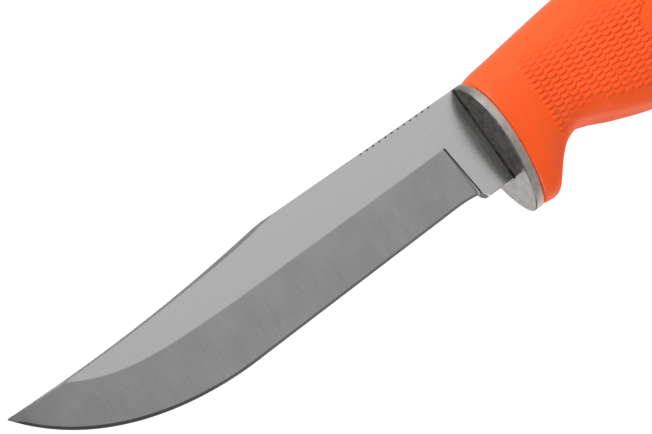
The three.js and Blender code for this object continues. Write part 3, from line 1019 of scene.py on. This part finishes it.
def read_mark(tree, name):
    """The value of a mark left on the mesh."""
    node = tree.nodes.new("ShaderNodeAttribute")
    node.attribute_name = name
    return node.outputs["Fac"]


# Painted shade: the blade's steel goes towards this dark colour where it is marked.
BLADE_SHADE_COLOUR = (0.03, 0.029, 0.028)


def satin_steel(name, light, dark, roughness, grain_depth, stretch, marked=False):
    """Steel with fine grinding lines; stretch says which way they run. A marked one shows its marks: a
    smoother honed bevel and painted shade.
    """
    material, tree, shader = new_material(name)
    place = place_of_surface(tree)
    lines = noise(tree, place, 0.16, 4.0, 0.6, stretch)
    fine = noise(tree, place, 0.05, 2.0, 0.6, stretch)
    clouds = noise(tree, place, 9.0, 3.0, 0.5)
    tone = add(tree, multiply(tree, lines, 0.6), multiply(tree, clouds, 0.4))
    colour = mix_colours(tree, map_range(tree, tone, 0, 1, 0.35, 0.65), dark, light)
    rough = add(tree, map_range(tree, lines, -0.03, 0.03), map_range(tree, clouds, -0.03, 0.03))
    rough = add(tree, rough, roughness)
    if marked:
        painted_shade = read_mark(tree, "painted_shade")
        rough = add(tree, rough, multiply(tree, read_mark(tree, "honed"), -0.05))
        rough = add(tree, rough, multiply(tree, painted_shade, 0.2))
        # Painted shade darkens the steel where the mark says.
        colour = mix_colours(tree, painted_shade, colour, BLADE_SHADE_COLOUR)
    tree.links.new(colour, shader.inputs["Base Color"])
    tree.links.new(rough, shader.inputs["Roughness"])
    shader.inputs["Metallic"].default_value = 1.0
    grain = bump(tree, lines, grain_depth)
    tree.links.new(bump(tree, fine, grain_depth * 0.3, grain), shader.inputs["Normal"])
    return material


GUARD_FACE_TONES = ((0.35, 0.325, 0.305), (0.54, 0.52, 0.505))
GUARD_RIM_TONES = ((0.5, 0.482, 0.46), (0.66, 0.64, 0.615))
# Painted shade along the rim's front edge.
GUARD_EDGE_SHADE_COLOUR = (0.09, 0.086, 0.082)
# Painted shade on the rim high up.
GUARD_RIM_HIGH_SHADE_COLOUR = (0.2, 0.19, 0.18)
# Painted reflection of the orange grip on the rim's rear.
GUARD_RIM_GRIP_REFLECTION_COLOUR = (0.9, 0.48, 0.34)
GUARD_RIM_GRIP_REFLECTION_WIDTH = 1.2
GUARD_RIM_HIGH_Z = (3, 10)
# Painted shade in the guard's corner round the blade.
GUARD_CORNER_SHADE_COLOUR = (0.03, 0.028, 0.026)
GUARD_CORNER_SHADE_REACH = (0.05, 0.22)


def guard_steel_with_painted_light():
    """Tumbled steel, a little warm and blotchy, with painted shade in the corner round the blade.

    The rim is lighter and duller than the face, with painted shade along its front edge. It is painted
    darker high up as shade, and warm at the rear with a painted reflection of the grip's orange.
    """
    material, tree, shader = new_material("guard_steel_painted_light")
    place = place_of_surface(tree)
    split = tree.nodes.new("ShaderNodeSeparateXYZ")
    tree.links.new(place, split.inputs[0])
    x, y, z = (split.outputs[axis] for axis in "XYZ")
    front_x = ORIGIN[0]
    rear_x = ORIGIN[0] + GUARD_THICKNESS

    def across(value, to_min, to_max, from_mm, to_mm):
        return map_range(tree, value, to_min, to_max, from_mm * MM, to_mm * MM)

    blotches = noise(tree, place, 2.2, 4.0, 0.65)
    speckle = noise(tree, place, 0.28, 3.0, 0.7)
    tone = add(tree, multiply(tree, blotches, 0.55), multiply(tree, speckle, 0.45))
    tone = map_range(tree, tone, 0, 1, 0.4, 0.6)
    face = mix_colours(tree, tone, *GUARD_FACE_TONES)
    rim = mix_colours(tree, tone, *GUARD_RIM_TONES)
    on_rim = across(x, 0, 1, front_x + 0.1, front_x + GUARD_ROUND)
    colour = mix_colours(tree, on_rim, face, rim)
    # Painted shade: a thin dark line on the front rounding.
    edge_in = across(x, 0, 0.7, front_x, front_x + 0.06)
    edge_out = across(x, 1, 0, front_x + 0.2, front_x + 0.3)
    colour = mix_colours(tree, multiply(tree, edge_in, edge_out), colour, GUARD_EDGE_SHADE_COLOUR)
    # Painted shade: the rim goes darker towards the top.
    high_up = across(z, 0, 0.6, *GUARD_RIM_HIGH_Z)
    colour = mix_colours(tree, multiply(tree, high_up, on_rim), colour, GUARD_RIM_HIGH_SHADE_COLOUR)
    # Painted reflection: the rim's rear is tinted with the grip's orange.
    grip_reflection = across(x, 0, 0.75, rear_x - GUARD_RIM_GRIP_REFLECTION_WIDTH, rear_x)
    colour = mix_colours(tree, grip_reflection, colour, GUARD_RIM_GRIP_REFLECTION_COLOUR)

    # Painted shade on the guard face close round the blade, from the ricasso up.
    beside = math_node(tree, "ABSOLUTE", y, 0.0)
    corner_shade = across(beside, 0.42, 0, *(STOCK / 2 + reach for reach in GUARD_CORNER_SHADE_REACH))
    front = math_node(tree, "LESS_THAN", x, (front_x + 0.1) * MM)
    above = math_node(tree, "GREATER_THAN", z, (RICASSO_Z - 0.2) * MM)
    corner_shade = multiply(tree, multiply(tree, corner_shade, front), above)
    colour = mix_colours(tree, corner_shade, colour, GUARD_CORNER_SHADE_COLOUR)
    tree.links.new(colour, shader.inputs["Base Color"])
    rough = add(tree, map_range(tree, blotches, 0.24, 0.34), map_range(tree, speckle, -0.04, 0.04))
    rough = add(tree, rough, multiply(tree, on_rim, 0.18))
    tree.links.new(rough, shader.inputs["Roughness"])
    shader.inputs["Metallic"].default_value = 1.0
    tree.links.new(bump(tree, speckle, 0.008), shader.inputs["Normal"])
    return material


GRIP_TONES = ((0.9, 0.085, 0.007), (0.96, 0.097, 0.01))
# Painted shade in the creases of the scales.
GRIP_CREASE_SHADE_COLOUR = (0.5, 0.03, 0.003)
GRIP_CREASE_SHADE_SHARE = 0.62
# Painted shade at the seam against the guard.
GRIP_SEAM_SHADE_COLOUR = (0.06, 0.02, 0.01)
# Painted light: the colour of an even glow on the orange.
GRIP_PAINTED_GLOW_COLOUR = (1.0, 0.13, 0.01, 1.0)


def orange_grip():
    """Soft moulded rubber, with painted shade in its creases and at its front seam. An even glow paints
    extra light on the orange, so it stays bright where little lamp light falls.
    """
    material, tree, shader = new_material("grip_orange_moulded")
    place = place_of_surface(tree)
    clouds = noise(tree, place, 14.0, 3.0, 0.5)
    speckle = noise(tree, place, 0.35, 3.0, 0.6)
    tone = add(tree, multiply(tree, clouds, 0.7), multiply(tree, speckle, 0.3))
    colour = mix_colours(tree, map_range(tree, tone, 0, 1), *GRIP_TONES)
    # Painted shade: the orange goes darker in the scales' creases.
    crease_shade = multiply(tree, read_mark(tree, "crease_shade"), GRIP_CREASE_SHADE_SHARE)
    colour = mix_colours(tree, crease_shade, colour, GRIP_CREASE_SHADE_COLOUR)
    # Painted shade darkens the orange at the seam.
    colour = mix_colours(tree, read_mark(tree, "seam_shade"), colour, GRIP_SEAM_SHADE_COLOUR)
    tree.links.new(colour, shader.inputs["Base Color"])
    rough = add(tree, map_range(tree, clouds, 0.4, 0.46), map_range(tree, speckle, -0.03, 0.03))
    tree.links.new(rough, shader.inputs["Roughness"])
    shader.inputs["Specular IOR Level"].default_value = 0.4
    # Painted light: a faint even glow on the orange, though the grip is no lamp.
    shader.inputs["Emission Color"].default_value = GRIP_PAINTED_GLOW_COLOUR
    shader.inputs["Emission Strength"].default_value = 0.16
    shader.inputs["Subsurface Weight"].default_value = 0.12
    shader.inputs["Subsurface Radius"].default_value = (0.9, 0.35, 0.1)
    shader.inputs["Subsurface Scale"].default_value = 0.0012
    tree.links.new(bump(tree, speckle, 0.02), shader.inputs["Normal"])
    return material


def black_nylon():
    """Moulded nylon with short glass fibres."""
    material, tree, shader = new_material("core_nylon_moulded")
    place = place_of_surface(tree)
    fibres = noise(tree, place, 0.4, 3.0, 0.6, (4, 1, 1))
    speckle = noise(tree, place, 0.12, 2.0, 0.5)
    tone = map_range(tree, fibres, 0, 1)
    colour = mix_colours(tree, tone, (0.008, 0.008, 0.009), (0.016, 0.016, 0.017))
    tree.links.new(colour, shader.inputs["Base Color"])
    tree.links.new(map_range(tree, speckle, 0.5, 0.66), shader.inputs["Roughness"])
    tree.links.new(bump(tree, fibres, 0.02), shader.inputs["Normal"])
    return material


# ---- Stage, lights and camera ----

CAMERA_AZIMUTH = -22.0
CAMERA_ELEVATION = -1.0
CAMERA_ROLL = 35.24
CAMERA_DISTANCE = 700.0
CAMERA_TARGET = (-41.97, 0.0, 5.09)
FOCAL_LENGTH = 176.7


def direction(azimuth, elevation):
    """The unit vector from the object towards a viewer at this azimuth and elevation."""
    a, e = math.radians(azimuth), math.radians(elevation)
    return Vector((math.sin(a) * math.cos(e), -math.cos(a) * math.cos(e), math.sin(e)))


def make_camera():
    camera = bpy.data.objects.new("camera", bpy.data.cameras.new("camera"))
    bpy.context.scene.collection.objects.link(camera)
    camera.data.sensor_width = 36.0
    camera.data.lens = FOCAL_LENGTH
    camera.data.clip_start = 0.02
    camera.data.clip_end = 50.0
    back = direction(CAMERA_AZIMUTH, CAMERA_ELEVATION)
    right = Vector((0, 0, 1)).cross(back).normalized()
    up = back.cross(right)
    roll = math.radians(CAMERA_ROLL)
    rolled_right = right * math.cos(roll) - up * math.sin(roll)
    rolled_up = right * math.sin(roll) + up * math.cos(roll)
    turn = Matrix((rolled_right, rolled_up, back)).transposed().to_4x4()
    place = Vector(in_row(CAMERA_TARGET)) + back * CAMERA_DISTANCE * MM
    camera.matrix_world = Matrix.Translation(place) @ turn
    bpy.context.scene.camera = camera


def soft_box(name, azimuth, elevation, distance, width, height, radiance):
    """An area light that faces the knife and looks this bright."""
    light = bpy.data.lights.new(name, "AREA")
    light.shape = "RECTANGLE"
    light.size = width
    light.size_y = height
    light.energy = radiance * math.pi * width * height
    box = bpy.data.objects.new(name, light)
    bpy.context.scene.collection.objects.link(box)
    away = direction(azimuth, elevation)
    box.location = away * distance
    box.rotation_euler = away.to_track_quat("Z", "Y").to_euler()


def make_world():
    """White to the camera. To the knife it is a soft room, darker below and near the camera."""
    world = bpy.data.worlds.new("studio")
    bpy.context.scene.world = world
    world.use_nodes = True
    tree = world.node_tree
    tree.nodes.clear()
    output = tree.nodes.new("ShaderNodeOutputWorld")
    ray = tree.nodes.new("ShaderNodeTexCoord").outputs["Generated"]
    split = tree.nodes.new("ShaderNodeSeparateXYZ")
    tree.links.new(ray, split.inputs[0])
    by_height = map_range(tree, split.outputs["Z"], 0.22, 0.55, -0.45, 0.15)
    toward_camera = tree.nodes.new("ShaderNodeVectorMath")
    toward_camera.operation = "DOT_PRODUCT"
    toward_camera.inputs[1].default_value = direction(CAMERA_AZIMUTH - 4, 0)
    tree.links.new(ray, toward_camera.inputs[0])
    shade = map_range(tree, toward_camera.outputs["Value"], 1.0, 0.16, 0.86, 0.97)
    room = tree.nodes.new("ShaderNodeBackground")
    room.inputs["Color"].default_value = (1, 1, 1, 1)
    tree.links.new(multiply(tree, by_height, shade), room.inputs["Strength"])
    white = tree.nodes.new("ShaderNodeBackground")
    white.inputs["Color"].default_value = (1, 1, 1, 1)
    white.inputs["Strength"].default_value = 1.1
    path = tree.nodes.new("ShaderNodeLightPath")
    mix = tree.nodes.new("ShaderNodeMixShader")
    tree.links.new(path.outputs["Is Camera Ray"], mix.inputs[0])
    tree.links.new(room.outputs[0], mix.inputs[1])
    tree.links.new(white.outputs[0], mix.inputs[2])
    tree.links.new(mix.outputs[0], output.inputs["Surface"])


def make_floor():
    """A plain white floor below the knife, which is held up. The steel doesn't mirror it."""
    size = 3.0
    drop = 0.14
    z = cad_box[0][2] - drop
    mesh = bpy.data.meshes.new("floor")
    corners = [(-size, -size, z), (size, -size, z), (size, size, z), (-size, size, z)]
    mesh.from_pydata(corners, [], [(0, 1, 2, 3)])
    floor = bpy.data.objects.new("floor", mesh)
    bpy.context.scene.collection.objects.link(floor)
    material, tree, shader = new_material("floor_white")
    shader.inputs["Base Color"].default_value = (0.9, 0.9, 0.9, 1)
    shader.inputs["Roughness"].default_value = 0.9
    shader.inputs["Emission Color"].default_value = (1, 1, 1, 1)
    shader.inputs["Emission Strength"].default_value = 0.55
    mesh.materials.append(material)
    floor.visible_glossy = False
    floor.visible_diffuse = False
    floor.visible_shadow = False


def make_lights():
    soft_box("key_box", 24, 6, 0.9, 0.75, 0.34, 0.32)
    soft_box("upper_front_box", -32, 50, 0.9, 0.8, 0.5, 5.2)
    soft_box("low_box", -60, -60, 0.9, 0.5, 0.5, 4.0)
    soft_box("left_box", -80, 5, 0.9, 0.5, 0.8, 0.55)
    soft_box("low_back_box", 141, -54, 1.0, 0.9, 0.7, 1.0)
    soft_box("back_box", 202, 4, 1.1, 0.8, 0.6, 0.45)
    soft_box("low_right_box", 62, -32, 0.9, 0.5, 0.5, 0.5)


# ---- The knife ----

BLADE_TONES = ((0.64, 0.64, 0.635), (0.58, 0.58, 0.575))
TUBE_TONES = ((0.62, 0.62, 0.62), (0.54, 0.54, 0.54))
blade_steel = satin_steel("blade_steel_satin", *BLADE_TONES, 0.27, 0.004, (1, 8, 60), marked=True)
tube_steel = satin_steel("tube_steel_turned", *TUBE_TONES, 0.24, 0.003, (1, 1, 1))
make_blade(blade_steel)
make_guard(guard_steel_with_painted_light())
make_grip(orange_grip())
make_tube(tube_steel)
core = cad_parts["handle_core"]
core.data.materials.clear()
core.data.materials.append(black_nylon())

make_floor()
make_world()
make_lights()
make_camera()

bpy.context.scene.view_settings.view_transform = "Standard"
bpy.context.scene.view_settings.look = "None"
